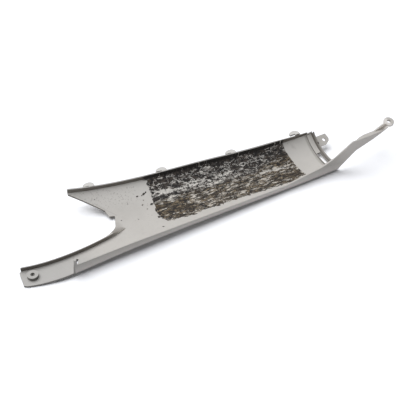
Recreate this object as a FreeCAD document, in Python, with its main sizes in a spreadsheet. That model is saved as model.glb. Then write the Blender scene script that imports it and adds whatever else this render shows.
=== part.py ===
import FreeCAD, Part

import math
import os
import re

import Sketcher

# Scooter side panel, seen from its inside as it lies on its convex outer face.
# +X runs along the panel towards the arm, +Y runs across it to the back edge with the
# hooks, +Z is up, which is inwards on the vehicle. One moulding, one skin of even wall,
# with the torn remains of a glued-on felt pad on its inner face.

# Driving dimensions, in millimetres. Where a feature's place hangs on another size, it is a
# formula on that size.
SIZES = {
    # The skin: five cross-sections along the panel, each an arc that touches the floor at
    # its low line and rises to both edges.
    "panel_length": 551.5,
    "wall": 2.5,
    "radius_a": 150, "low_a": 12, "reach_a": 132,
    "radius_b": 150, "low_b": 48, "reach_b": 148,
    "radius_c": 115, "low_c": 46, "reach_c": 124,
    "radius_d": 88, "low_d": 31, "reach_d": 104,
    "radius_e": 74.5, "low_e": 25, "reach_e": 88,
    "front_reach": 10,
    "ceiling": 90,
    # The back edge, as the inner foot of its lip.
    "tip_x": 126.5, "tip_y": 137, "back_mid_x": "=panel_length - 167.5",
    "back_mid_y": 93.8,
    "back_end_y": 79.5, "back_bulge": 2.6,
    "lip": 5.5, "fork_lip": 6.5, "rim": 1.3,
    "lip_fall_x": "=panel_length - 80", "lip_fall_top": 33.5, "lip_end_top": 29.8,
    "tip_round": 2.5,
    # The fork at the left: a lower arm, a rounded root, a small notch and an upper horn.
    "arm_end_x": 1, "arm_end_y": 15, "arm_end_back_x": 4.6, "arm_end_back_y": 45,
    "arm_bend_start": 64, "arm_bend_bulge": 2, "arm_corner": 4,
    "fork_start_x": 140, "fork_start_y": 42.5, "fork_bulge": 5.5,
    "root_x": 169, "root_y": 62, "root_bulge": 4,
    "notch_x": 176.7, "notch_y": 80.5, "notch_depth": 8.2,
    "horn_x": 167, "horn_y": 95, "horn_bulge": 2,
    "fade_start": 150, "fade_top": 7.4, "fade_end": 181, "fade_low": 0.6, "fade_depth": 8,
    "fade_y": 50.5, "fade_fall": 0.16,
    # The front flange and its end post.
    "flange_x": 73, "flange_top": 21,
    "flange_bend_x": 165, "flange_low_x": "=panel_length - 106.5", "flange_low_top": 12.5,
    "flange_rise_x": "=panel_length - 36.5", "flange_rise_top": 21.5,
    "post_width": 3, "post_top": 31, "post_lean": 2.8, "post_foot": 9,
    "relief_x": 82, "relief_y": 17, "relief_width": 3, "relief_skew": 5.8, "relief_length": 10.5,
    # The joggled strip at the right end, its slot and its outward lip.
    "joggle_x": "=panel_length - 13.5", "joggle_step": 2.2, "joggle_front": 20,
    "strip_lip_gap": 0.5, "strip_lip_end": "=panel_length - 2.5", "strip_lip": 1.2,
    "slot_x": "=joggle_x + 1", "slot_width": 7.3, "slot_y": 22, "slot_length": 24.5,
    "end_lip": 3.3, "end_lip_run": 5, "end_lip_back": 2.4,
    # The arm that carries on from the flange.
    "arm_wall": 1.8, "arm_root_x": "=joggle_x", "arm_root_top": 29.6,
    "arm_foot_x": "=panel_length - 0.5", "arm_foot_z": 5,
    "arm_kink_x": "=arm_root_x + 36", "arm_kink_top": 51.6,
    "arm_waist_x": "=arm_kink_x + 9", "arm_waist_z": 30,
    "arm_knee_x": "=arm_waist_x + 34", "arm_knee_z": 40.7,
    "arm_neck_x": "=arm_knee_x + 15", "arm_neck_z": 46.8,
    "ramp_x": "=arm_neck_x + 4", "ramp_z": 53.9, "ramp_rise": 2.8,
    "arm_deck_top": 51.2, "arm_deck_width": 7.5, "arm_deck_x": "=arm_kink_x + 12",
    "rib_x": "=arm_knee_x - 1", "rib_top": 60.5, "rib_top_x": "=ramp_x + 5.5",
    # The eyelet at the arm's end.
    "eyelet_x": "=ramp_x + 17", "eyelet_y": 8, "eyelet_z": 57.4, "eyelet_radius": 8.8,
    "eyelet_thickness": 4, "eyelet_bore": 3.5, "eyelet_tilt": 12,
    # The boss on the lower arm.
    "boss_x": 19, "boss_y": 27, "boss_radius": 8.5, "boss_height": 5, "boss_bore": 3,
    # The tab beyond the right end.
    "tab_x": "=panel_length + 14", "tab_y": 64.5, "tab_width": 19, "tab_reach": 9.5, "tab_bore": 3,
    "tab_thickness": 2.5, "tab_tilt": 27,
    # The hooks along the back edge.
    "hook_first": 159, "hook_pitch": "=(panel_length - 193.9) / 3", "hook_width": 18, "hook_depth": 10,
    "hook_thickness": 2.5, "hook_slot": 1.8, "hook_prong": 3.5, "hook_drop": 0,
    # What is left of the glued-on pad.
    "pad_x": 245, "pad_end_x": "=panel_length - 56.5", "pad_front_y": 31, "pad_front_end_y": 13,
    "pad_thickness": 0.8, "pad_gap": 0.25,
}
STATIONS = "abcde"
HOOKS = 4

doc = FreeCAD.newDocument("side_panel")
sheet = doc.addObject("Spreadsheet::Sheet", "Sizes")
for row, (alias, size) in enumerate(SIZES.items(), start=1):
    sheet.set(f"A{row}", alias.replace("_", " "))
    sheet.set(f"B{row}", str(size))
    sheet.setAlias(f"B{row}", alias)
sums = doc.addObject("Spreadsheet::Sheet", "Sums")
doc.recompute()


def bound(rule):
    """The rule with each size's name pointed at its cell."""
    return re.sub(r"[a-z_]+", lambda m: f"Sizes.{m[0]}" if m[0] in SIZES else m[0], str(rule))


def value(rule):
    """The number that a rule gives now."""
    sums.set("A1", f"={bound(rule)}")
    sums.recompute()
    result = sums.get("A1")
    return float(getattr(result, "Value", result))


def arc_radius(start, end, bulge):
    """The radius of an arc that stands off its chord by the bulge."""
    chord = f"((({end[0]}) - ({start[0]}))^2 + (({end[1]}) - ({start[1]}))^2)"
    return f"({chord} / 4 + ({bulge})^2) / (2 * ({bulge}))"


PLANES = {
    "XY": FreeCAD.Rotation(),
    "XZ": FreeCAD.Rotation(FreeCAD.Vector(1, 0, 0), 90),
    "YZ": FreeCAD.Rotation(FreeCAD.Vector(1, 1, 1), 120),
}


def outline(name, plane, corners, at=None):
    """A closed sketch. A corner is (x, y), or (x, y, radius, side) where an arc leads on
    from it, with side 1 for an arc that bulges to the right of its way and -1 for left."""
    sketch = doc.addObject("Sketcher::SketchObject", name)
    sketch.Placement = FreeCAD.Placement(FreeCAD.Vector(), PLANES[plane])
    for axis, rule in (at or {}).items():
        sketch.setExpression(f".Placement.Base.{axis}", bound(rule))
    points = [FreeCAD.Vector(value(c[0]), value(c[1]), 0) for c in corners]
    starts = []
    ends = []
    for index, corner in enumerate(corners):
        here = points[index]
        there = points[(index + 1) % len(points)]
        if len(corner) == 2:
            edge = sketch.addGeometry(Part.LineSegment(here, there))
            starts.append((edge, 1))
            ends.append((edge, 2))
            continue
        radius = value(corner[2])
        chord = there - here
        sag = radius - math.sqrt(radius ** 2 - chord.Length ** 2 / 4)
        right = FreeCAD.Vector(chord.y, -chord.x, 0).normalize() * corner[3] * sag
        edge = sketch.addGeometry(Part.Arc(here, (here + there) / 2 + right, there))
        flipped = sketch.getPoint(edge, 1).distanceToPoint(here) > 1e-6
        starts.append((edge, 2 if flipped else 1))
        ends.append((edge, 1 if flipped else 2))
        held = sketch.addConstraint(Sketcher.Constraint("Radius", edge, radius))
        sketch.setExpression(f"Constraints[{held}]", bound(corner[2]))
    for index, corner in enumerate(corners):
        sketch.addConstraint(Sketcher.Constraint("Coincident", *ends[index - 1], *starts[index]))
        for kind, rule in (("DistanceX", corner[0]), ("DistanceY", corner[1])):
            held = sketch.addConstraint(Sketcher.Constraint(kind, *starts[index], value(rule)))
            sketch.setExpression(f"Constraints[{held}]", bound(rule))
    return sketch


def prism(name, sketch, along, length, back="0"):
    """The sketch pushed along an axis by length, and by back the other way."""
    solid = doc.addObject("Part::Extrusion", name)
    solid.Base = sketch
    solid.DirMode = "Custom"
    solid.Dir = along
    solid.Solid = True
    solid.setExpression("LengthFwd", bound(length))
    solid.setExpression("LengthRev", bound(back))
    return solid


def combine(kind, name, first, *others):
    """A boolean of the objects: Cut, Common or Fuse."""
    if kind == "Cut":
        tool = others[0] if len(others) == 1 else combine("Fuse", name + "_tools", *others)
        solid = doc.addObject("Part::Cut", name)
        solid.Base = first
        solid.Tool = tool
        return solid
    solid = doc.addObject("Part::Multi" + kind, name)
    solid.Shapes = [first, *others]
    return solid


def section(name, station, gain, where):
    """The space above the skin's arc at one station. The arc's radius grows by gain."""
    low = f"low_{station}"
    radius = f"(radius_{station} + ({gain}))"
    centre = f"(wall + radius_{station})"
    front = "-front_reach"
    back = f"reach_{station}"

    def height(across):
        return f"{centre} - sqrt({radius}^2 - (({across}) - {low})^2)"

    corners = [(front, height(front), radius, 1), (back, height(back)),
               (back, "ceiling"), (front, "ceiling")]
    return outline(name, "YZ", corners, {"x": where})


def bowl(name, gain):
    """Everything above the skin's surface, moved outwards by gain."""
    loft = doc.addObject("Part::Loft", name)
    last = len(STATIONS) - 1
    loft.Sections = [section(f"{name}_{s}", s, gain, f"panel_length * {i} / {last}")
                     for i, s in enumerate(STATIONS)]
    loft.Solid = True
    return loft


UP = FreeCAD.Vector(0, 0, 1)
ACROSS = FreeCAD.Vector(0, 1, 0)
DEPTH = "ceiling"

outside = bowl("outside", "wall")
inside = bowl("inside", "0")


# The back edge: straight from the horn's tip, then gently bowed to the joggle.
back_end = "(joggle_x + wall)"


def back_y(x):
    """The lip's inner foot at x."""
    share = f"((({x}) - tip_x) / (back_mid_x - tip_x))"
    straight = f"(tip_y + (back_mid_y - tip_y) * {share})"
    share = f"((({x}) - back_mid_x) / ({back_end} - back_mid_x))"
    bowed = (f"(back_mid_y + (back_end_y - back_mid_y) * {share}"
             f" - 4 * back_bulge * {share} * (1 - {share}))")
    return straight if value(x) <= value("back_mid_x") else bowed


def back_line(start, end, offset="0"):
    """Sketch corners along the back edge, from start to end, set off from the lip's foot."""
    first = (start, f"{back_y(start)} + {offset}")
    last = (end, f"{back_y(end)} + {offset}")
    middle = ("back_mid_x", f"back_mid_y + {offset}")
    half = f"((back_mid_x + {end}) / 2)"
    bulge = f"((back_mid_y + {back_y(end)}) / 2 - {back_y(half)})"
    return [first, (*middle, arc_radius(middle, last, bulge), 1), last]


# The plan of the panel, up to the joggle.
bend = ("arm_bend_start", "0")
arm_front = ("arm_end_x + arm_corner", "arm_end_y - arm_corner / 3")
fork_start = ("fork_start_x", "fork_start_y")
arm_back = ("arm_end_back_x + arm_corner", "arm_end_back_y - arm_corner / 6")
root = ("root_x", "root_y")
horn = ("horn_x", "horn_y")
tip = ("tip_x - tip_round", "tip_y - tip_round / 2")
plan = outline("plan", "XY", [
    ("panel_length", "0"),
    (*bend, arc_radius(bend, arm_front, "arm_bend_bulge"), -1),
    arm_front,
    ("arm_end_x", "arm_end_y + arm_corner / 2"),
    ("arm_end_back_x - 1", "arm_end_back_y - arm_corner"),
    (*arm_back, arc_radius(arm_back, fork_start, "fork_bulge"), 1),
    (*fork_start, arc_radius(fork_start, root, "root_bulge"), 1),
    root,
    ("notch_x", "notch_y"),
    ("notch_x - notch_depth", "notch_y + wall"),
    (*horn, arc_radius(horn, tip, "horn_bulge"), 1),
    tip,
    ("tip_x - tip_round", "tip_y + tip_round / 2"),
    *back_line("tip_x", back_end, "rim"),
    (back_end, "joggle_front"),
    ("panel_length", "joggle_front"),
])
block = combine("Common", "block", outside, prism("plan_prism", plan, UP, DEPTH, "wall"))

# The inner space, which leaves the skin, the lip along the back edge, the lip round the fork
# and the front flange standing.
margin = "front_reach"
arm_back_in = (arm_back[0], f"{arm_back[1]} - rim")
fork_start_in = ("fork_start_x", "fork_start_y - rim")
fade_in = ("fade_end", "fade_y")
hollow = outline("hollow", "XY", [
    (f"panel_length + {margin}", "wall"),
    ("flange_x", "wall"),
    ("flange_x", f"-{margin}"),
    (f"-{margin}", f"-{margin}"),
    (f"-{margin}", f"{arm_back_in[1]}"),
    (*arm_back_in, arc_radius(arm_back_in, fork_start_in, "fork_bulge"), 1),
    (*fork_start_in, arc_radius(fork_start_in, fade_in, "root_bulge / 4"), 1),
    fade_in,
    ("root_x", "root_y + wall"),
    ("arm_bend_start", "root_y + wall"),
    ("arm_bend_start", "tip_y"),
    *back_line("tip_x", back_end),
    (f"panel_length + {margin}", "back_end_y"),
])
cavity = combine("Common", "cavity", inside, prism("hollow_prism", hollow, UP, DEPTH, "wall"))
shell = combine("Cut", "shell", block, cavity)

# The lips are cut down to one height above the skin, along the back edge and round the fork.
trim_split = "(root_y + wall)"
trim = outline("trim", "XY", [
    (f"panel_length + {margin}", trim_split),
    (f"-{margin}", trim_split),
    (f"-{margin}", f"tip_y + {margin}"),
    (f"panel_length + {margin}", f"tip_y + {margin}"),
])
fork_trim = outline("fork_trim", "XY", [
    (f"fade_end + {margin}", "wall"),
    (f"fade_end + {margin}", trim_split),
    (f"-{margin}", trim_split),
    (f"-{margin}", f"-{margin}"),
    ("flange_x", f"-{margin}"),
    ("flange_x", "wall"),
])
over_back = combine("Common", "over_back", bowl("above_lip", "-lip"),
                    prism("trim_prism", trim, UP, DEPTH, "wall"))
over_fork = combine("Common", "over_fork", bowl("above_fork_lip", "-fork_lip"),
                    prism("fork_trim_prism", fork_trim, UP, DEPTH, "wall"))

# Towards the joggle the lip along the back edge gets lower.
fall = outline("fall", "XZ", [
    ("lip_fall_x", "lip_fall_top"),
    (back_end, "lip_end_top"),
    (f"panel_length + {margin}", "lip_end_top"),
    (f"panel_length + {margin}", "ceiling"),
    ("lip_fall_x", "ceiling"),
], {"y": trim_split})
fall_cut = prism("fall_cut", fall, ACROSS, "ceiling")

# The lip round the fork fades out towards its root, down to the skin.
fade = outline("fade", "XZ", [
    ("fade_start", "ceiling"),
    ("fade_start", "fade_top"),
    ("fade_end", "fade_low"),
    ("fade_end", "ceiling"),
], {"y": trim_split})
fade_prism = prism("fade_prism", fade, ACROSS, "0", f"{trim_split} - fork_start_y + fade_depth")
fade_prism.Dir = FreeCAD.Vector(0, 1, -value("fade_fall"))
fade_cut = combine("Common", "fade_cut", inside, fade_prism)

# The front flange: tall at its left end with a post, low along the middle, rising to the arm.
flange_low = ("flange_low_x", "flange_low_top")
flange_rise = ("flange_rise_x", "flange_rise_top")
arm_root = ("arm_root_x", "arm_root_top")
above_flange = outline("above_flange", "XZ", [
    ("flange_x - wall", "ceiling + wall"),
    ("flange_x - wall", "post_foot"),
    ("flange_x", "post_foot"),
    ("flange_x + post_lean", "post_top"),
    ("flange_x + post_lean + post_width", "post_top"),
    ("flange_x + post_lean + post_width", "flange_top"),
    ("flange_bend_x", "flange_top"),
    flange_low,
    flange_rise,
    arm_root,
    ("panel_length + wall", "arm_foot_z + wall"),
    ("panel_length + wall", "ceiling + wall"),
])
flange_cut = prism("flange_cut", above_flange, ACROSS, "2 * wall", "wall")
web = combine("Cut", "web", shell, over_back, fall_cut, over_fork, fade_cut, flange_cut)

# The joggled strip at the right end: the same skin, one step further in.
strip_rear = "(back_end_y + rim - joggle_step)"


def strip_section(name, where, gain, front, thick, rear):
    """A slice of the skin near the right end, of its own radius at that place."""
    share = f"((panel_length - ({where})) * 4 / panel_length)"
    low = f"(low_e + (low_d - low_e) * {share})"
    radius = f"(radius_e + (radius_d - radius_e) * {share})"
    def height(across, grow):
        return f"wall + {radius} - sqrt(({radius} + ({grow}))^2 - (({across}) - {low})^2)"

    outer = f"{gain} + {thick}"
    corners = [(front, height(front, outer), f"{radius} + {outer}", 1),
               (rear, height(rear, outer)),
               (rear, height(rear, gain), f"{radius} + {gain}", -1),
               (front, height(front, gain))]
    return outline(name, "YZ", corners, {"x": where})


def strip(name, runs, thick, rear):
    """A ruled run of the strip through places, each with its own gain."""
    loft = doc.addObject("Part::Loft", name)
    loft.Sections = [strip_section(f"{name}_{i}", where, gain, "joggle_front", thick, rear)
                     for i, (where, gain) in enumerate(runs)]
    loft.Solid = True
    loft.Ruled = True
    return loft


end_foot = "(panel_length - end_lip_run)"
strip_skin = strip("strip_skin", [("joggle_x", "-joggle_step"), (end_foot, "-joggle_step")],
                   "wall", strip_rear)
end_wall = strip("end_wall", [(f"{end_foot} - wall / 2", "-joggle_step"),
                              (end_foot, "-joggle_step"),
                              ("panel_length", "-joggle_step - end_lip")],
                 "wall / 2", f"({strip_rear} - end_lip_back)")
strip_band = outline("strip_band", "XY", [
    ("joggle_x + strip_lip_gap", f"{strip_rear} - rim"),
    ("strip_lip_end", f"{strip_rear} - rim"),
    ("strip_lip_end", strip_rear),
    ("joggle_x + strip_lip_gap", strip_rear),
])
strip_rise = "-joggle_step - strip_lip"
strip_zone = strip("strip_zone", [("joggle_x", strip_rise), ("panel_length - wall / 2", strip_rise)],
                   "(wall / 2 + strip_lip)", strip_rear)
strip_lip = combine("Common", "strip_lip", strip_zone,
                    prism("strip_band_prism", strip_band, UP, DEPTH))

# The arm: a blade in line with the flange, a narrow deck bent back from its top edge, a ramp
# from the deck up to the eyelet, and a rib that grows along the far edge to carry it.
blade = outline("blade", "XZ", [
    ("arm_root_x", "arm_foot_z + wall"),
    ("arm_foot_x", "arm_foot_z"),
    ("arm_waist_x", "arm_waist_z"),
    ("arm_knee_x", "arm_knee_z"),
    ("arm_neck_x", "arm_neck_z"),
    ("ramp_x", "arm_deck_top - wall"),
    ("ramp_x", "arm_deck_top"),
    ("arm_deck_x", "arm_deck_top"),
    ("arm_kink_x", "arm_kink_top"),
    arm_root,
])
blade_wall = prism("blade_wall", blade, ACROSS, "arm_wall")
eyelet_root = "(eyelet_x - eyelet_bore - wall)"
deck = outline("deck", "XY", [
    ("arm_kink_x + wall", "0"),
    ("ramp_x", "0"),
    ("ramp_x", "arm_deck_width"),
    ("arm_deck_x + 2 * arm_deck_width", "arm_deck_width"),
    ("arm_deck_x + arm_deck_width / 2", "arm_deck_width * 0.7"),
], {"z": "arm_deck_top - wall"})
deck_plate = prism("deck_plate", deck, UP, "wall")
ramp = outline("ramp", "XZ", [
    ("arm_neck_x", "arm_deck_top - wall"),
    ("ramp_x", "arm_deck_top - wall"),
    (eyelet_root, "ramp_z"),
    (eyelet_root, "ramp_z + ramp_rise"),
    ("ramp_x + wall", "arm_deck_top"),
    ("arm_neck_x", "arm_deck_top"),
])
ramp_block = prism("ramp_block", ramp, ACROSS, "arm_deck_width")
rib = outline("rib", "XZ", [
    ("rib_x", "arm_deck_top - wall"),
    ("ramp_x", "arm_deck_top - wall"),
    (eyelet_root, "ramp_z"),
    (eyelet_root, "eyelet_z + eyelet_thickness / 4"),
    ("rib_top_x", "rib_top"),
], {"y": "arm_deck_width - wall"})
rib_wall = prism("rib_wall", rib, ACROSS, "wall")


def disc(name, radius, thickness, x, y, z, tilt):
    """A round plate centred on a point, its far side raised by tilt degrees."""
    plate = doc.addObject("Part::Cylinder", name)
    plate.setExpression("Radius", bound(radius))
    plate.setExpression("Height", bound(thickness))
    plate.Placement = FreeCAD.Placement(FreeCAD.Vector(), FreeCAD.Rotation(FreeCAD.Vector(1, 0, 0), 1))
    plate.setExpression(".Placement.Rotation.Angle", bound(tilt))
    plate.setExpression(".Placement.Base.x", bound(x))
    plate.setExpression(".Placement.Base.y", bound(f"{y} + sin({tilt}) * ({thickness}) / 2"))
    plate.setExpression(".Placement.Base.z", bound(f"{z} - cos({tilt}) * ({thickness}) / 2"))
    return plate


eyelet_place = ("eyelet_x", "eyelet_y", "eyelet_z", "eyelet_tilt")
eyelet = disc("eyelet", "eyelet_radius", "eyelet_thickness", *eyelet_place)
eyelet_hole = disc("eyelet_hole", "eyelet_bore", "8 * eyelet_thickness", *eyelet_place)

doc.recompute()


def top_of(solid, x, y):
    """The height of a solid's top face over a point of the plan."""
    foot = FreeCAD.Vector(x, y, -value("ceiling"))
    ray = Part.makeLine(foot, foot + FreeCAD.Vector(0, 0, 3 * value("ceiling")))
    return solid.Shape.common(ray).BoundBox.ZMax


# The boss on the lower arm, with its bore.
boss_foot = top_of(web, value("boss_x"), value("boss_y"))


def post(name, radius, bottom, top):
    """An upright round at the boss's place."""
    solid = doc.addObject("Part::Cylinder", name)
    solid.setExpression("Radius", bound(radius))
    solid.setExpression("Height", bound(f"({top}) - ({bottom})"))
    solid.setExpression(".Placement.Base.x", bound("boss_x"))
    solid.setExpression(".Placement.Base.y", bound("boss_y"))
    solid.setExpression(".Placement.Base.z", bound(bottom))
    return solid


boss = post("boss", "boss_radius", f"{boss_foot} - wall / 2", f"{boss_foot} + boss_height")
boss_hole = post("boss_hole", "boss_bore", "-wall", "ceiling")

# The tab beyond the end lip, in the slope of the strip.
tab_foot = top_of(strip_skin, value("joggle_x"), value("tab_y")) - value("wall") / 2
tab_shape = outline("tab_shape", "XY", [
    (f"{end_foot} - tab_x", "-tab_width / 2"),
    ("0", "-tab_width / 2"),
    ("tab_reach * 0.8", "-tab_width / 2 + tab_reach * 0.5"),
    ("tab_reach", "0"),
    ("tab_reach * 0.8", "tab_width / 2"),
    (f"{end_foot} - tab_x", "tab_width / 2"),
])
tab_plate = prism("tab_plate", tab_shape, UP, "tab_thickness / 2", "tab_thickness / 2")
tab_place = ("tab_x", "tab_y", str(tab_foot), "tab_tilt")
tab_plate.Placement.Rotation = FreeCAD.Rotation(FreeCAD.Vector(1, 0, 0), 1)
tab_plate.setExpression(".Placement.Rotation.Angle", bound("tab_tilt"))
tab_plate.setExpression(".Placement.Base.x", bound("tab_x"))
tab_plate.setExpression(".Placement.Base.y", bound("tab_y"))
tab_plate.setExpression(".Placement.Base.z", bound(tab_place[2]))
tab_hole = disc("tab_hole", "tab_bore", "6 * tab_thickness", *tab_place)

# The hooks on the outer side of the back lip, one outline set along the edge.
hook_right = ("hook_width / 2", "hook_depth * 0.4")
hook_crown = ("0", "hook_depth")
hook_left = ("-hook_width / 2", "hook_slot + hook_prong")
hook_shape = outline("hook_shape", "XY", [
    ("0", "-rim / 2"),
    ("hook_width / 2", "-rim / 2"),
    (*hook_right, arc_radius(hook_right, hook_crown, "hook_depth * 0.2"), 1),
    (*hook_crown, arc_radius(hook_crown, hook_left, "hook_depth * 0.1"), 1),
    hook_left,
    ("-hook_width / 2", "hook_slot"),
    ("0", "hook_slot"),
])
lip_crest = combine("Cut", "lip_crest", shell, over_back)
doc.recompute()
hooks = []
for number in range(HOOKS):
    x = value(f"hook_first + hook_pitch * {number}")
    foot = value(back_y(x))
    ahead = value(back_y(x + 1))
    hook = prism(f"hook_{number + 1}", hook_shape, UP, "hook_thickness")
    crest = top_of(lip_crest, x, foot + value("rim") / 2)
    hook.Placement = FreeCAD.Placement(
        FreeCAD.Vector(x, foot + value("rim"), crest - value("hook_thickness + hook_drop")),
        FreeCAD.Rotation(UP, math.degrees(math.atan(ahead - foot))))
    hooks.append(hook)

# The openings through the skin.
slot = outline("slot", "XY", [
    ("slot_x", "slot_y"),
    ("slot_x + slot_width", "slot_y"),
    ("slot_x + slot_width", "slot_y + slot_length"),
    ("slot_x", "slot_y + slot_length"),
])
relief = outline("relief", "XY", [
    ("relief_x", "relief_y"),
    ("relief_x + relief_width", "relief_y - relief_width / 2"),
    ("relief_x + relief_width + relief_skew", "relief_y + relief_length - relief_width / 2"),
    ("relief_x + relief_skew", "relief_y + relief_length"),
])

moulding = combine("Fuse", "moulding", web, strip_skin, end_wall, strip_lip, blade_wall,
                   deck_plate, ramp_block, rib_wall, eyelet, boss, tab_plate, *hooks)
side_panel = combine("Cut", "side_panel", moulding, boss_hole, eyelet_hole, tab_hole,
                     prism("slot_prism", slot, UP, DEPTH, "wall"),
                     prism("relief_prism", relief, UP, "flange_top", "wall"))
side_panel.Label = "side_panel"

# The pad's remains, on the inner surface and up to the lip, over a thin line of glue.
pad_plan = outline("pad_plan", "XY", [
    ("pad_x", "pad_front_y"),
    *back_line("pad_x", "pad_end_x", "-2 * pad_gap"),
    ("pad_end_x", "pad_front_end_y"),
])
pad_zone = combine("Cut", "pad_zone", bowl("pad_floor", "-pad_gap"),
                   bowl("above_pad", "-pad_gap - pad_thickness"))
pad_residue = combine("Common", "pad_residue", pad_zone,
                      prism("pad_prism", pad_plan, UP, DEPTH))
pad_residue.Label = "pad_residue"
doc.recompute()

# The origin: the middle of the moulding's box, on the floor that it lies on.
box = side_panel.Shape.optimalBoundingBox(False)
home = FreeCAD.Vector(-(box.XMin + box.XMax) / 2, -(box.YMin + box.YMax) / 2, -box.ZMin)

for part in doc.Objects:
    if "Invalid" in part.State or "Error" in part.State:
        raise RuntimeError(f"{part.Name}: {part.State}")

os.makedirs("parts", exist_ok=True)
for part in (side_panel, pad_residue):
    part.Placement = FreeCAD.Placement(home, FreeCAD.Rotation())
    shape = part.Shape
    if shape.isNull() or not shape.isValid() or not shape.Solids:
        raise RuntimeError(f"{part.Label} is not a sound solid")
    print(part.Label, len(shape.Solids), "solids,", round(shape.Volume), "mm3,",
          [round(v, 1) for v in (shape.BoundBox.XLength, shape.BoundBox.YLength, shape.BoundBox.ZLength)])
    shape.exportStep(f"parts/{part.Label}.step")
print("origin moved by", [round(v, 2) for v in home])
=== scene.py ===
import math

import bpy
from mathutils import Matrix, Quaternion, Vector, noise
from mathutils.bvhtree import BVHTree


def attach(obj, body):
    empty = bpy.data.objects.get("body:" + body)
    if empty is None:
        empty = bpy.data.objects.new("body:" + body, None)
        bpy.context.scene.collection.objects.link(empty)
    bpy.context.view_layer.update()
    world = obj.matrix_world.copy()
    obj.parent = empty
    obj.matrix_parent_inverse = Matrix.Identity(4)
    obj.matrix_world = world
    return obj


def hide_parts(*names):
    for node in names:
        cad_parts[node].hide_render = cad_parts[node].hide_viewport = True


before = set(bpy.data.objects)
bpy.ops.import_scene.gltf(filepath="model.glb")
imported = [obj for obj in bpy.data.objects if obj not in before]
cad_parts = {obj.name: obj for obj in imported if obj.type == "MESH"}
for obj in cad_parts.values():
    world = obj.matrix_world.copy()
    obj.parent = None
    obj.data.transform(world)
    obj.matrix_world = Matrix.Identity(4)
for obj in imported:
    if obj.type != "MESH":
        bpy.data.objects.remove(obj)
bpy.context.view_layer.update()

# Scooter side panel: one grey moulding, inner face up, with the torn remains of a felt pad.
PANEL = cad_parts["side_panel"]

# Drawing sizes are in millimetres from the corner where the lower arm and the front flange
# meet; this is where that corner lies in the part's frame.
CORNER = Vector((-331.4, -70.86, 0.46))
MM_PER_M = 1000

# The foot of the back lip on the drawing: a straight line to the bend, then a flat arc.
LIP_START, LIP_BEND = (126.5, 137), (384, 93.8)
LIP_SLOPE = (LIP_START[1] - LIP_BEND[1]) / (LIP_BEND[0] - LIP_START[0])
ARC_RUN, ARC_DROP, ARC_SAG = 156.5, 14.3, 10.4

# The middle of the boss on the drawing.
BOSS = (19, 27)


def spot(x, y, z=0.0):
    """A point of the drawing, in the part's frame, in metres."""
    return (Vector((x, y, z)) + CORNER) / MM_PER_M


def drawn(place):
    """The place on the drawing of a point of the part's frame."""
    return (place * MM_PER_M - CORNER).xy


def back_foot(x):
    """The foot of the back lip on the drawing."""
    if x < LIP_BEND[0]:
        return LIP_BEND[1] + LIP_SLOPE * (LIP_BEND[0] - x)
    share = (x - LIP_BEND[0]) / ARC_RUN
    return LIP_BEND[1] - ARC_DROP * share - ARC_SAG * share * (1 - share)


# Tools of the bench.


def pick(obj):
    """Only this object is selected and active."""
    bpy.ops.object.select_all(action="DESELECT")
    obj.select_set(True)
    bpy.context.view_layer.objects.active = obj


def settle(obj):
    """The object's place, turn and size go into its mesh."""
    pick(obj)
    bpy.ops.object.transform_apply(location=True, rotation=True, scale=True)


def finish_modifier(obj, kind, name, **settings):
    """A modifier with its settings, applied at once."""
    pick(obj)
    modifier = obj.modifiers.new(name, kind)
    for key, setting in settings.items():
        setattr(modifier, key, setting)
    bpy.ops.object.modifier_apply(modifier=name)


def delete_faces(obj, unwanted):
    """Deletes the faces whose centre answers to unwanted."""
    pick(obj)
    bpy.ops.object.mode_set(mode="EDIT")
    bpy.ops.mesh.select_all(action="DESELECT")
    bpy.ops.mesh.select_mode(type="FACE")
    bpy.ops.object.mode_set(mode="OBJECT")
    for face in obj.data.polygons:
        face.select = unwanted(face.center)
    bpy.ops.object.mode_set(mode="EDIT")
    bpy.ops.mesh.delete(type="FACE")
    bpy.ops.object.mode_set(mode="OBJECT")


def hold(obj, name, at, kind="FLOAT"):
    """Each point of the mesh keeps what at gives for its place, under that name."""
    kept = obj.data.attributes.new(name, kind, "POINT")
    field = "vector" if kind == "FLOAT_VECTOR" else "value"
    for vertex, item in zip(obj.data.vertices, kept.data):
        setattr(item, field, at(vertex.co))


def dress(obj, material):
    """All faces take one material: a CAD node's in its own slots, a new piece's in a new one."""
    if obj.material_slots:
        for each in obj.material_slots:
            each.link = "OBJECT"
            each.material = material
    else:
        obj.data.materials.append(material)


# Finishes.


class Value:
    """A socket's number or colour. Python's operators on it add Math nodes."""

    def __init__(self, finish, socket):
        self.finish = finish
        self.socket = socket

    def __add__(self, other):
        return self.finish.math("ADD", self, other)

    def __radd__(self, other):
        return self.finish.math("ADD", other, self)

    def __sub__(self, other):
        return self.finish.math("SUBTRACT", self, other)

    def __rsub__(self, other):
        return self.finish.math("SUBTRACT", other, self)

    def __mul__(self, other):
        return self.finish.math("MULTIPLY", self, other)

    def __rmul__(self, other):
        return self.finish.math("MULTIPLY", other, self)

    def __truediv__(self, other):
        return self.finish.math("DIVIDE", self, other)

    def __pow__(self, other):
        return self.finish.math("POWER", self, other)

    def __abs__(self):
        return self.finish.math("ABSOLUTE", self)


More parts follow.
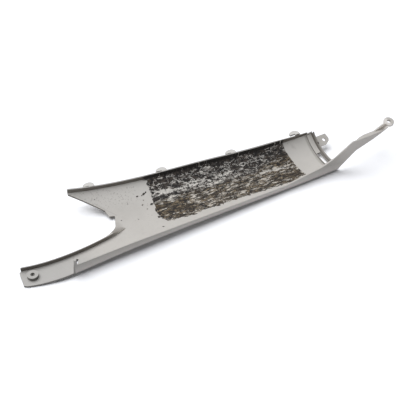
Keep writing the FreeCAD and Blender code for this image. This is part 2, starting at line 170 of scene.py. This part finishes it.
class Finish:
    """The nodes of one finish, in the node tree of a material or of the world."""

    def __init__(self, tree):
        self.tree = tree
        self.tree.nodes.clear()

    def node(self, kind, settings=None, sockets=None, out=0):
        """Any node, by its type, its settings and what its sockets get."""
        made = self.tree.nodes.new(kind)
        for key, setting in (settings or {}).items():
            setattr(made, key, setting)
        for key, given in (sockets or {}).items():
            if isinstance(given, Value):
                self.tree.links.new(given.socket, made.inputs[key])
            else:
                made.inputs[key].default_value = given
        return Value(self, made.outputs[out])

    def math(self, operation, *values):
        """A Math node."""
        return self.node("ShaderNodeMath", {"operation": operation}, dict(enumerate(values)))

    def larger(self, first, second):
        """The larger of two numbers."""
        return self.math("MAXIMUM", first, second)

    def axes(self, vector):
        """The three numbers of a vector."""
        return [self.node("ShaderNodeSeparateXYZ", {}, {"Vector": vector}, out=i)
                for i in range(3)]

    def ramp(self, value, low, high):
        """0 below low and 1 above high, with a soft slope between; or the other way round."""
        return self.node("ShaderNodeMapRange", {"interpolation_type": "SMOOTHSTEP"}, {
            "Value": value, "From Min": low, "From Max": high})

    def grain(self, vector, size, stretch=(1, 1, 1), detail=4.0, rough=0.55, shift=0.0):
        """Noise with features of that size in millimetres, drawn out along the axes."""
        scaled = self.node("ShaderNodeMapping", {}, {
            "Vector": vector, "Location": (shift, shift, shift),
            "Scale": tuple(1 / (size * s) for s in stretch)})
        return self.node("ShaderNodeTexNoise", {}, {
            "Vector": scaled, "Scale": 1.0, "Detail": detail, "Roughness": rough})

    def blend(self, factor, first, second):
        """Two colours mixed by the factor."""
        sockets = {0: factor, 6: first, 7: second}
        for index in (6, 7):
            if not isinstance(sockets[index], Value):
                sockets[index] = (*sockets[index], 1.0)
        return self.node("ShaderNodeMix", {"data_type": "RGBA"}, sockets, out=2)

    def bump(self, height, depth, below=None):
        """A normal that follows the height, in metres of depth."""
        sockets = {"Height": height, "Strength": 1.0, "Distance": depth}
        if below is not None:
            sockets["Normal"] = below
        return self.node("ShaderNodeBump", {}, sockets)

    def surface(self, tone, rough, normal):
        """The Principled shader at the end of a material."""
        self.end(self.node("ShaderNodeBsdfPrincipled", {}, {
            "Base Color": tone, "Roughness": rough, "Normal": normal}))

    def end(self, shader, kind="ShaderNodeOutputMaterial"):
        """The shader goes to the output node, which has no outputs of its own."""
        output = self.tree.nodes.new(kind)
        self.tree.links.new(shader.socket, output.inputs["Surface"])


def new_material(name):
    """An empty material with nodes."""
    material = bpy.data.materials.new(name)
    material.use_nodes = True
    return material


class Moulding(Finish):
    """A finish that knows where each point of the panel lies on the drawing, how its face
    turns, and how far it is in front of the back lip's foot and from the boss's middle."""

    def __init__(self, tree):
        super().__init__(tree)
        self.where = self.node("ShaderNodeMapping", {}, {
            "Vector": self.node("ShaderNodeTexCoord", out="Object"),
            "Location": -CORNER, "Scale": (MM_PER_M, MM_PER_M, MM_PER_M)})
        self.x, self.y, self.z = self.axes(self.where)
        turn = self.node("ShaderNodeNewGeometry", out="True Normal")
        self.nx, self.ny, self.nz = self.axes(turn)
        self.foot = self.lip_foot() - self.y
        self.boss = ((self.x - BOSS[0]) ** 2.0 + (self.y - BOSS[1]) ** 2.0) ** 0.5

    def lip_foot(self):
        """The same line as back_foot."""
        share = self.larger((self.x - LIP_BEND[0]) / ARC_RUN, 0.0)
        before = self.larger(LIP_BEND[0] - self.x, 0.0)
        return (LIP_BEND[1] + LIP_SLOPE * before - ARC_DROP * share
                - ARC_SAG * share * (1 - share))

    def zone(self, **spans):
        """1 within the spans and 0 outside. A span says where it starts and where it is full,
        and one of four numbers also where it starts to fade and where it ends."""
        share = 1.0
        for name, span in spans.items():
            value = getattr(self, name)
            share = self.ramp(value, span[0], span[1]) * share
            if len(span) == 4:
                share = share * self.ramp(value, span[3], span[2])
        return share

    def beside(self, start, end, reach, full):
        """1 up to full millimetres from a line on the drawing, and 0 beyond its reach."""
        dx, dy = end[0] - start[0], end[1] - start[1]
        along = ((self.x - start[0]) * dx + (self.y - start[1]) * dy) / (dx * dx + dy * dy)
        along = self.math("MINIMUM", self.larger(along, 0.0), 1.0)
        ax = self.x - start[0] - along * dx
        ay = self.y - start[1] - along * dy
        return self.ramp((ax * ax + ay * ay) ** 0.5, reach, full)


# The panel's colours.
PLASTIC = (0.52, 0.50, 0.475)
PLASTIC_COOL = (0.49, 0.472, 0.448)
PLASTIC_DULL = (0.43, 0.41, 0.385)
ARM_GREY = (0.36, 0.36, 0.355)
FLANGE_PAINTED_LIGHT = (0.74, 0.705, 0.69)
SKIN_PAINTED_LIGHT = (0.70, 0.685, 0.66)
EYELET_PAINTED_LIGHT = (0.78, 0.75, 0.73)
RIB_PAINTED_LIGHT = (0.86, 0.80, 0.74)
ROOT_PAINTED_LIGHT = (0.90, 0.87, 0.82)
RIM_TOP_PALE = (0.60, 0.59, 0.57)
SPECK = (0.2, 0.18, 0.16)
SHADE = (0.2, 0.185, 0.165)
GRIME_AND_SHADE = (0.125, 0.11, 0.092)
EDGE_PAINTED_SHADOW = (0.12, 0.115, 0.11)
STAIN_BLACK = (0.010, 0.008, 0.007)
BOSS_PAINTED_SHADE = (0.16, 0.15, 0.14)
BORE_PAINTED_LIGHT = (0.95, 0.95, 0.93)
BORE_PAINTED_SHADE = (0.12, 0.11, 0.10)
END_DARK = (0.10, 0.088, 0.075)
STEP_DARK = (0.15, 0.135, 0.12)
SMUDGE = (0.25, 0.235, 0.22)
GROOVE_PAINTED_SHADE = (0.2, 0.19, 0.17)
NICK_PAINTED_SHADE = (0.04, 0.035, 0.03)
# The depth of its fine grain and of its mottling, in metres.
GRAIN_DEPTH, MOTTLE_DEPTH = 0.00004, 0.0001


def bare_plastic(finish, mottle):
    """Light grey plastic with its paler and darker parts, painted light where it is shaded, and
    small dark specks.
    """
    cloud = finish.grain(finish.where, 60, detail=3)
    tone = finish.blend(finish.ramp(cloud, 0.35, 0.7), PLASTIC, PLASTIC_COOL)
    tone = finish.blend(finish.ramp(mottle, 0.5, 0.75) * 0.35, tone, PLASTIC_DULL)
    # The lower arm is a little darker. The front flange is painted paler towards its bottom, as
    # light from the floor below, and the arm beyond it paler too.
    tone = finish.blend(finish.zone(x=(135, 60), y=(80, 60)) * 0.55, tone, ARM_GREY)
    flange = finish.zone(ny=(-0.35, -0.6), y=(12, 8))
    pale = finish.larger(finish.zone(z=(24, 4)), finish.zone(x=(530, 565)) * 0.65)
    tone = finish.blend(flange * pale, tone, FLANGE_PAINTED_LIGHT)
    # Painted light on the skin towards the back lip, where the lip shades it.
    near_lip = finish.zone(foot=(48, 2), x=(545, 535), nz=(0.5, 0.7))
    tone = finish.blend(near_lip * 0.75, tone, SKIN_PAINTED_LIGHT)
    # Painted light on the eyelet's neck, where it shades itself.
    neck = finish.zone(x=(636, 645, 650, 655), z=(44, 48))
    tone = finish.blend(neck * 0.8, tone, EYELET_PAINTED_LIGHT)
    # Painted light on the rib's side that faces away from the lamp.
    rib = finish.zone(x=(610, 616, 643, 646), y=(3.4, 4.2), nz=(-0.4, -0.1, 0.75, 0.9))
    tone = finish.blend(rib, tone, RIB_PAINTED_LIGHT)
    # The specks are thicker on the horn.
    dots = finish.grain(finish.where, 2.4, detail=1, shift=7.3)
    thick = finish.ramp(finish.grain(finish.where, 35, detail=2, shift=3.1), 0.45, 0.65)
    horn = finish.beside((150, 118), (215, 104), 24, 8)
    on_skin = finish.ramp(dots, 0.70, 0.76) * thick * 0.6
    on_horn = finish.ramp(dots, 0.60, 0.68) * horn * 0.35
    return finish.blend(on_skin + on_horn, tone, SPECK)


def lips_and_fork(finish, tone):
    """The lips' inner sides darkened with grime and painted shade, painted light and shade at the
    fork's root, and the black stain that the pad left. Gives the colour and where the sides are."""
    root = finish.zone(x=(138, 178, 195, 205), y=(26, 32, 68, 75))
    # The lips' inner sides are darkened: partly grime, partly painted shade.
    lip = finish.zone(nz=(0.45, 0.2), ny=(-0.25, -0.6), y=(12, 16), x=(553, 551), boss=(9.2, 10.2))
    lip = lip * (1 - root)
    patch = 0.82 + 0.3 * (finish.grain(finish.where, 14, detail=4, shift=11.0) - 0.5)
    tone = finish.blend(lip * patch, tone, GRIME_AND_SHADE)
    # At the root the lip fades, its wall takes painted light, and the skin beside it a soft
    # painted shade.
    tone = finish.blend(root * finish.zone(nz=(0.45, 0.2), x=(158, 174)), tone, ROOT_PAINTED_LIGHT)
    hollow = finish.zone(nx=(0.1, 0.18), nz=(0.85, 0.93), x=(150, 154, 184, 190), y=(67, 44))
    above_root = finish.beside((166, 72), (173, 60), 9, 2)
    tone = finish.blend(finish.larger(hollow * 0.84, above_root * 0.22), tone, SHADE)
    # The black stain lies on the back lip and at its foot.
    stain = finish.zone(x=(243, 250, 489, 494), y=(70, 74))
    uneven = finish.ramp(finish.grain(finish.where, 7, (2.5, 1, 1), detail=5, shift=2.0), 0.33, 0.5)
    tone = finish.blend(lip * stain * (0.8 + 0.2 * uneven), tone, STAIN_BLACK)
    tone = finish.blend(stain * finish.zone(foot=(-0.4, 0.2, 1.0, 2.4)), tone, STAIN_BLACK)
    # The lip's top and the hooks are paler than the rest.
    rim_top = finish.zone(foot=(-0.2, -0.6), nz=(0.5, 0.8), x=(553, 551))
    return finish.blend(rim_top, tone, RIM_TOP_PALE), lip


def boss_and_edges(finish, tone):
    """The boss's side and bore in painted shade and light, and painted shadow along the edges that
    lie on the ground.
    """
    # Painted shade on the boss's side wall.
    side = finish.zone(boss=(7.4, 8.0, 9.2, 9.6), nz=(0.5, 0.2))
    tone = finish.blend(side * 0.8, tone, BOSS_PAINTED_SHADE)
    # The bore is painted: pale deep down, as the lit floor seen through it, and dark at its mouth,
    # as shade.
    bore = finish.blend(finish.zone(z=(5.4, 6.6)), BORE_PAINTED_LIGHT, BORE_PAINTED_SHADE)
    tone = finish.blend(finish.zone(boss=(3.6, 3.2)), tone, bore)
    # Painted shadow along the lower edges of the arm and the flange, for the floor's shadow under
    # them.
    arm_edge = finish.zone(x=(76, 74), ny=(-0.5, -0.75), y=(34, 32))
    flange_edge = finish.zone(ny=(-0.3, -0.6), z=(2.6, 1.0), y=(12, 8))
    return finish.blend(finish.larger(arm_edge * 0.75, flange_edge * 0.85), tone, EDGE_PAINTED_SHADOW)


def end_strip(finish, tone):
    """The shaded end lip, the joggle's darker step, and painted shade on the skin just before it.
    """
    end_lip = finish.zone(x=(546, 546.8, 551.6, 552), y=(12, 18), nx=(-0.2, -0.45))
    tone = finish.blend(end_lip * finish.zone(x=(554, 547.5)), tone, END_DARK)
    step = finish.zone(x=(535.5, 536.5, 540.5, 541.5), nx=(-0.4, -0.7))
    tone = finish.blend(step * 0.8, tone, STEP_DARK)
    # Painted shade on the skin just before the step.
    verge = finish.zone(x=(532, 535.5, 537, 538.5), y=(14, 20), nz=(0.2, 0.5))
    return finish.blend(verge * 0.4, tone, SHADE)


def small_marks(finish, tone, mottle):
    """A smudge beyond the pad, and painted shade for a faint groove beside the fork and for a nick
    in the end lip.
    """
    smudge = finish.beside((505, 74), (508, 68), 6, 0) * finish.ramp(mottle, 0.4, 0.6)
    tone = finish.blend(smudge * 0.22, tone, SMUDGE)
    # Painted shade along a faint groove beside the fork.
    groove = finish.beside((157, 111), (180, 81), 1.6, 0.2) * finish.zone(nz=(0.3, 0.5))
    tone = finish.blend(groove * 0.18, tone, GROOVE_PAINTED_SHADE)
    # Painted shade for a nick in the end lip.
    return finish.blend(finish.beside((550.6, 60.6), (551.2, 58.8), 1.4, 0.4), tone, NICK_PAINTED_SHADE)


def panel_plastic():
    """Unpainted light grey moulding: fine grain, faint mottling, grime and painted shade in its
    corners, and painted light where it shades itself.
    """
    material = new_material("panel_plastic")
    finish = Moulding(material.node_tree)
    mottle = finish.grain(finish.where, 9, detail=5, rough=0.6)
    fine = finish.grain(finish.where, 1.1, detail=3, rough=0.6)
    tone = bare_plastic(finish, mottle)
    tone, lip = lips_and_fork(finish, tone)
    tone = boss_and_edges(finish, tone)
    tone = end_strip(finish, tone)
    tone = small_marks(finish, tone, mottle)
    rough = 0.56 + 0.12 * (mottle - 0.5) + 0.2 * lip
    finish.surface(tone, rough, finish.bump(fine, GRAIN_DEPTH, finish.bump(mottle, MOTTLE_DEPTH)))
    return material


# The pad's colours.
FELT_BLACK = (0.006, 0.005, 0.005)
FELT_DUSTY = (0.065, 0.053, 0.045)
GLUE_BROWN = (0.052, 0.037, 0.023)
GLUE_KHAKI = (0.20, 0.158, 0.105)
GLUE_BLACK = (0.009, 0.007, 0.006)
EARTH_DARK = (0.020, 0.015, 0.011)
INSIDE_DULL = (0.52, 0.495, 0.455)
INSIDE_PALE = (0.84, 0.82, 0.79)
INSIDE_WARM = (0.52, 0.455, 0.36)
# The depth of its fuzz and of its blotches, in metres.
FUZZ_DEPTH, BLOTCH_DEPTH = 0.0002, 0.0005


def pad_remains():
    """Torn felt and dried glue: black by the lip, brown below, flecked with its pale inside."""
    material = new_material("pad_remains")
    finish = Finish(material.node_tree)
    lay = finish.node("ShaderNodeAttribute", {"attribute_name": "lay"}, out="Vector")
    worn = finish.node("ShaderNodeAttribute", {"attribute_name": "worn"}, out="Fac")
    brown = finish.node("ShaderNodeAttribute", {"attribute_name": "brown"}, out="Fac")
    streak = finish.grain(lay, 3.0, (3.4, 1, 1), detail=5, rough=0.62)
    groove = finish.grain(lay, 3.0, (4.8, 1, 1), detail=4, rough=0.60, shift=21.0)
    drift = finish.grain(lay, 6.5, (4, 1, 1), detail=4, rough=0.6, shift=31.0)
    blotch = finish.grain(lay, 5.0, (1.8, 1, 1), detail=6, rough=0.7, shift=5.0)
    curl = finish.grain(lay, 6.0, (2.2, 1, 1), detail=6, rough=0.68, shift=13.0)
    chip = finish.grain(lay, 4.0, (1.9, 1, 1), detail=6, rough=0.72, shift=9.0)
    cross = finish.grain(lay, 1.8, (1, 3.5, 1), detail=3, rough=0.6, shift=27.0)
    patch = finish.grain(lay, 15, (2.2, 1, 1), detail=3, shift=17.0)
    fleck = finish.grain(lay, 3.0, (1.5, 1, 1), detail=3, rough=0.6, shift=41.0)
    fuzz = finish.grain(lay, 0.7, detail=3, rough=0.7)

    # The outer side: black felt by the lip, and brown glue with black streaks in front.
    black = finish.blend(finish.ramp(blotch, 0.45, 0.62), FELT_BLACK, FELT_DUSTY)
    scratched = blotch + 0.9 * (cross - 0.5)
    khaki = finish.blend(finish.ramp(scratched, 0.40, 0.60), GLUE_BROWN, GLUE_KHAKI)
    earth = finish.blend(finish.ramp(streak, 0.47, 0.51), khaki, GLUE_BLACK)
    earth = finish.blend(finish.ramp(patch, 0.50, 0.60) * 0.6, earth, EARTH_DARK)
    tone = finish.blend(finish.ramp(brown + 0.6 * (patch - 0.5), 0.35, 0.65), black, earth)
    # The pale inside shows where it is torn: in curls, in chips, and in lines on the brown part.
    bare = worn - 0.04 + 2.2 * (drift - 0.5)
    curls = finish.ramp(abs(curl - 0.5) - 0.05 * bare, 0.006, -0.006) * (1 - 0.6 * brown)
    chips = finish.ramp(chip + 0.34 * (bare - 0.5) - 0.08 * brown, 0.565, 0.590)
    lines = finish.ramp(groove + 0.20 * bare, 0.632, 0.655) * brown
    pale = finish.larger(finish.larger(curls, chips), lines)
    pale = pale * (1 - 0.95 * finish.ramp(fleck, 0.555, 0.58))
    inside = finish.blend(finish.ramp(fuzz, 0.35, 0.65), INSIDE_DULL, INSIDE_PALE)
    inside = finish.blend(brown * 0.4, inside, INSIDE_WARM)
    tone = finish.blend(pale, tone, inside)

    normal = finish.bump(fuzz, FUZZ_DEPTH, finish.bump(blotch, BLOTCH_DEPTH))
    finish.surface(tone, 0.9 - 0.2 * pale, normal)
    return material


# The pad's remains.

# Their outline on the drawing, round from the back edge's left end.
PAD_OUTLINE = [
    (250, 115), (491, 84), (491, 69), (493, 48), (495, 23), (497, 12.5), (459, 12), (417, 16),
    (380, 20), (330, 22), (307, 26), (291, 22), (270, 27), (247, 31), (238, 49), (243, 71),
    (244, 83), (248, 97)]
# The flat sheet that is cut to the outline: its corners, the size of its faces, the height
# that it is laid down from, and its thickness in metres.
SHEET_LOW, SHEET_HIGH = (234, 8), (498, 118)
CELL = 0.8
SHEET_FROM = 60
SHEET_BODY = 0.0009
# How ragged the outline is, and how little at its right end.
RAGGED, NEAT, NEAT_FROM_X = 6.4, 1.0, 480
# It ends this far from the back lip, and near the lip it isn't ragged across.
LIP_GAP, ALONG_LIP = 0.3, 8
# Past this share the sheet is torn through.
TORN_THROUGH = 0.92
# Its front edge, and the middle of the band where black turns to brown: how far back they lie
# at the pad's left end, and how that falls along the panel.
PAD_LEFT = 247
FRONT_START, FRONT_FALL = 30, 0.069
BROWN_START, BROWN_FALL, BROWN_BAND = 76, 0.11, 22
# The width that the streaks of the felt are laid out on.
LAY_WIDTH = 70
# Where it is torn more than elsewhere, or less: by how much, along which line, and how wide.
TEARS = [
    (0.55, [(244, 94), (262, 91), (280, 84)], 6),
    (0.35, [(280, 84), (305, 77), (345, 66)], 6),
    (0.7, [(430, 53), (457, 49.5), (494, 40)], 4),
    (0.4, [(312, 83), (322, 80)], 7),
    (0.4, [(336, 79), (370, 73)], 8),
    (-0.5, [(440, 30), (485, 26)], 9),
    (-0.3, [(455, 66), (485, 62)], 12),
    (-1.3, [(252, 54), (285, 48)], 18)]
# Within this width of the back lip it is more whole.
WHOLE_BY_LIP, WHOLE_WIDTH = 0.3, 6.25
# The felt's fibres lie at a slight slant to the panel. Their noise has a roughness, a step
# from each layer to the next finer one, and a number of layers.
SLANT = math.radians(-6)
FIBRE_NOISE = (0.6, 2.1, 5)


def clip(share):
    """A number kept from 0 to 1."""
    return min(max(share, 0.0), 1.0)


def within(x, y, outline):
    """Whether a point of the drawing lies inside an outline."""
    inside = False
    for (ax, ay), (bx, by) in zip(outline, outline[1:] + outline[:1]):
        if (ay > y) != (by > y) and x < ax + (y - ay) * (bx - ax) / (by - ay):
            inside = not inside
    return inside


def drawn_out(x, y, length, width, seed):
    """Noise from about 0 to 1 with features drawn out along the panel."""
    along = x * math.cos(SLANT) + y * math.sin(SLANT)
    across = y * math.cos(SLANT) - x * math.sin(SLANT)
    at = Vector((along / length, across / width, seed))
    return 0.5 + 0.5 * noise.fractal(at, *FIBRE_NOISE)


def along_line(x, y, points, width):
    """1 on a line of points, falling to 0 at the width beside it."""
    here = Vector((x, y))
    gaps = []
    for start, end in zip(points, points[1:]):
        a, b = Vector(start), Vector(end)
        share = clip((here - a).dot(b - a) / (b - a).length_squared)
        gaps.append((here - a.lerp(b, share)).length)
    return max(0.0, 1 - min(gaps) / width)


def front_edge(x):
    """The straight line that the pad's front edge follows on the drawing."""
    return FRONT_START - FRONT_FALL * (x - PAD_LEFT)


def lay_at(x, y):
    """A place on the pad: along it, and across it between its front edge and the lip."""
    front = front_edge(x)
    return Vector((x, LAY_WIDTH * (y - front) / (back_foot(x) - front), 0))


def worn_at(x, y):
    """How far the pad is torn off at a point of the drawing, from 0 to 1."""
    worn = 0.15 + 0.75 * (drawn_out(x, y, 15, 5, seed=1.0) - 0.25)
    for more, line, width in TEARS:
        worn += more * along_line(x, y, line, width)
    worn -= WHOLE_BY_LIP * (1 - clip((back_foot(x) - y) / WHOLE_WIDTH))
    return clip(worn)


def brown_at(x, y):
    """How brown the pad is at a point of the drawing: 0 near the lip, 1 along the front."""
    middle = BROWN_START - BROWN_FALL * (x - PAD_LEFT)
    # At the right end the brown goes up nearly to the lip.
    right_end = 0.7 * clip((x - 425) / 40) * clip((back_foot(x) - y) / 14)
    return clip((middle - y) / BROWN_BAND + 0.5 + right_end)


def cut_away(centre):
    """Whether a face of the sheet lies outside the outline, or where it is torn through."""
    x, y = drawn(centre)
    gap = back_foot(x) - y
    if gap < LIP_GAP:
        return True
    ragged = RAGGED if x < NEAT_FROM_X else NEAT
    dx = (drawn_out(x, y, 5, 4, seed=21.0) - 0.5) * ragged
    dy = (drawn_out(x, y, 6, 4, seed=22.0) - 0.5) * ragged if gap >= ALONG_LIP else 0
    if not within(x + dx, y + dy, PAD_OUTLINE):
        return True
    return worn_at(x, y) + 0.5 * (drawn_out(x, y, 4, 1.8, seed=31.0) - 0.5) > TORN_THROUGH


def pad_crust():
    """The torn sheet of felt and glue on the inner face of the skin."""
    length, width = SHEET_HIGH[0] - SHEET_LOW[0], SHEET_HIGH[1] - SHEET_LOW[1]
    bpy.ops.object.select_all(action="DESELECT")
    bpy.ops.mesh.primitive_grid_add(
        x_subdivisions=round(length / CELL), y_subdivisions=round(width / CELL), size=1,
        location=spot(SHEET_LOW[0] + length / 2, SHEET_LOW[1] + width / 2, SHEET_FROM))
    crust = bpy.context.active_object
    crust.name = crust.data.name = "pad_crust"
    crust.scale = (length / MM_PER_M, width / MM_PER_M, 1)
    settle(crust)
    delete_faces(crust, cut_away)
    finish_modifier(crust, "SHRINKWRAP", "lie_on_skin", target=PANEL, wrap_method="PROJECT",
                    use_project_z=True, use_negative_direction=True,
                    use_positive_direction=False)
    hold(crust, "worn", lambda place: worn_at(*drawn(place)))
    hold(crust, "brown", lambda place: brown_at(*drawn(place)))
    hold(crust, "lay", lambda place: lay_at(*drawn(place)), kind="FLOAT_VECTOR")
    # The sheet is thickest where it is whole, and its flakes stand up a little.
    lifted = []
    for vertex in crust.data.vertices:
        x, y = drawn(vertex.co)
        flake = drawn_out(x, y, 7, 2.2, seed=41.0)
        height = 0.15 + 0.75 * (1 - worn_at(x, y)) + 0.5 * (flake - 0.5)
        lifted.append(vertex.co + vertex.normal * min(max(height, 0.1), 1.2) / MM_PER_M)
    for vertex, there in zip(crust.data.vertices, lifted):
        vertex.co = there
    finish_modifier(crust, "SOLIDIFY", "body", thickness=SHEET_BODY, offset=-1)
    pick(crust)
    bpy.ops.object.shade_smooth_by_angle(angle=math.radians(50))
    return crust


# Loose crumbs round the pad: place on the drawing, size along, size across, turn in degrees,
# and how brown.
CRUMBS = [
    (225.7, 80.8, 2.2, 1.4, 10, 0.9), (224.7, 97.6, 3.4, 1.8, 15, 0.8),
    (236.2, 97.4, 4.6, 2.6, 25, 0.1), (240.4, 98.6, 3.0, 1.5, 30, 0.1),
    (232.4, 96.2, 2.2, 1.2, 50, 0.1), (182.4, 68.2, 1.5, 1.1, 0, 0.3),
    (206.9, 57.8, 1.4, 1.0, 40, 0.3), (232.3, 22.1, 2.8, 1.5, -30, 0.2),
    (239.5, 76.5, 3.6, 3.2, 0, 0.1), (237.5, 47.0, 3.4, 2.6, 60, 0.2),
    (160.0, 117.1, 1.4, 1.0, 0, 0.2), (229.0, 71.0, 1.6, 1.0, 35, 1.0),
    (205.0, 92.0, 1.2, 0.9, 0, 0.9), (231.0, 88.0, 1.5, 1.0, 0, 1.0)]
# How thick they are and how far above the skin their middle lies, in metres, and the height
# that they are laid down from.
CRUMB_BODY, CRUMB_LIFT = 0.0009, 0.0002
CRUMBS_FROM = 80
# How fine and how deep the dents in a crumb are, how far one crumb's noise lies from the
# next one's, and the noise itself, as for the fibres.
DENT_FINE, DENT_DEPTH, DENT_APART = 5.0, 0.9, 3.7
DENT_NOISE = (0.8, 2.0, 3)


def knead(lump, number):
    """Pushes a round lump out of shape, each crumb in its own way."""
    for vertex in lump.data.vertices:
        at = vertex.co * DENT_FINE + Vector((number * DENT_APART, 0, 0))
        vertex.co *= 1 + DENT_DEPTH * noise.fractal(at, *DENT_NOISE)


def loose_crumbs():
    """Crumbs of felt on the skin: one round lump and its copies, each kneaded and laid down."""
    skin = BVHTree.FromObject(PANEL, bpy.context.evaluated_depsgraph_get())
    bpy.ops.object.select_all(action="DESELECT")
    bpy.ops.mesh.primitive_ico_sphere_add(subdivisions=3, radius=0.5, location=(0, 0, 0))
    lump = bpy.context.active_object
    crumbs = [lump]
    for _ in CRUMBS[1:]:
        pick(lump)
        bpy.ops.object.duplicate(linked=False)
        crumbs.append(bpy.context.active_object)
    for number, (crumb, row) in enumerate(zip(crumbs, CRUMBS)):
        x, y, length, width, turn, share = row
        knead(crumb, number)
        ground, normal, _, _ = skin.ray_cast(spot(x, y, CRUMBS_FROM), Vector((0, 0, -1)))
        up = normal if normal.z > 0 else -normal
        crumb.scale = (length / MM_PER_M, width / MM_PER_M, CRUMB_BODY)
        crumb.rotation_mode = "QUATERNION"
        crumb.rotation_quaternion = (Vector((0, 0, 1)).rotation_difference(up)
                                     @ Quaternion((0, 0, 1), math.radians(turn)))
        crumb.location = ground + up * CRUMB_LIFT
        settle(crumb)
        hold(crumb, "worn", lambda place: 0.0)
        hold(crumb, "brown", lambda place: share)
        hold(crumb, "lay", lambda place: Vector((*drawn(place), 0)), kind="FLOAT_VECTOR")
    bpy.ops.object.select_all(action="DESELECT")
    for crumb in crumbs:
        crumb.select_set(True)
    bpy.context.view_layer.objects.active = crumbs[0]
    bpy.ops.object.join()
    joined = bpy.context.active_object
    joined.name = joined.data.name = "pad_crumbs"
    settle(joined)
    bpy.ops.object.shade_smooth()
    return joined


plastic = panel_plastic()
felt = pad_remains()
dress(PANEL, plastic)

crust = pad_crust()
dress(crust, felt)
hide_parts("pad_residue")
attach(crust, "root")

crumbs = loose_crumbs()
dress(crumbs, felt)
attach(crumbs, "root")

# The pad's plain solid isn't shown, and still gets the finish of what it stands for.
dress(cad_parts["pad_residue"], felt)


# The stage.

# The floor has one shade that lights the panel, and one that is seen. So has the studio.
FLOOR_SIZE = 12
FLOOR_GREY = (0.88, 0.88, 0.88, 1)
FLOOR_SEEN = (1.13, 1.145, 1.19, 1)
STUDIO_WHITE = (1, 1, 1, 1)
STUDIO_LIGHT, STUDIO_SEEN = 0.12, 1.0
# Angles of the lamp and the camera are in degrees, the lens and its film in millimetres.
LAMP_STRENGTH, LAMP_WIDTH = 2.95, 62
LAMP_FROM = (-0.16, 0.42, 1.0)
CAMERA_PLACE = (-0.5129, -0.8882, 0.9332)
CAMERA_TILT, CAMERA_TURN = 47, -29.7
CAMERA_LENS, CAMERA_FILM = 76.5, 36


def lit_or_seen(finish, lit, seen):
    """One shader gives the light, and another is what the camera and reflections see."""
    direct, mirrored, through = [
        finish.node("ShaderNodeLightPath", out=ray)
        for ray in ("Is Camera Ray", "Is Glossy Ray", "Is Transmission Ray")]
    sight = finish.larger(finish.larger(direct, mirrored), through)
    return finish.node("ShaderNodeMixShader", {}, {0: sight, 1: lit, 2: seen})


def pale_floor():
    """A plain pale floor that keeps the object's shadow."""
    bpy.ops.object.select_all(action="DESELECT")
    bpy.ops.mesh.primitive_plane_add(size=FLOOR_SIZE, location=(0, 0, 0))
    floor = bpy.context.active_object
    floor.name = floor.data.name = "floor"
    material = new_material("pale_floor")
    finish = Finish(material.node_tree)
    lit, seen = [
        finish.node("ShaderNodeBsdfDiffuse", {}, {"Color": shade})
        for shade in (FLOOR_GREY, FLOOR_SEEN)]
    finish.end(lit_or_seen(finish, lit, seen))
    dress(floor, material)
    return floor


def white_studio():
    """A faint even light from all round, before a white backdrop."""
    world = bpy.data.worlds.new("studio")
    world.use_nodes = True
    bpy.context.scene.world = world
    finish = Finish(world.node_tree)
    glow, backdrop = [
        finish.node("ShaderNodeBackground", {}, {"Color": STUDIO_WHITE, "Strength": strength})
        for strength in (STUDIO_LIGHT, STUDIO_SEEN)]
    finish.end(lit_or_seen(finish, glow, backdrop), "ShaderNodeOutputWorld")


def set_up(name, data):
    """A lamp's or the camera's object, in the scene."""
    made = bpy.data.objects.new(name, data)
    bpy.context.scene.collection.objects.link(made)
    return made


floor = pale_floor()
white_studio()

# A soft lamp high behind the panel and a little to its left.
lamp = bpy.data.lights.new("soft_lamp", "SUN")
lamp.energy = LAMP_STRENGTH
lamp.angle = math.radians(LAMP_WIDTH)
set_up("soft_lamp", lamp).rotation_euler = Vector(LAMP_FROM).to_track_quat("Z", "Y").to_euler()

camera = bpy.data.cameras.new("camera")
camera.lens = CAMERA_LENS
camera.sensor_width = CAMERA_FILM
camera_object = set_up("camera", camera)
camera_object.location = CAMERA_PLACE
camera_object.rotation_euler = (math.radians(CAMERA_TILT), 0, math.radians(CAMERA_TURN))
bpy.context.scene.camera = camera_object

bpy.context.scene.view_settings.view_transform = "Standard"

bpy.context.view_layer.update()
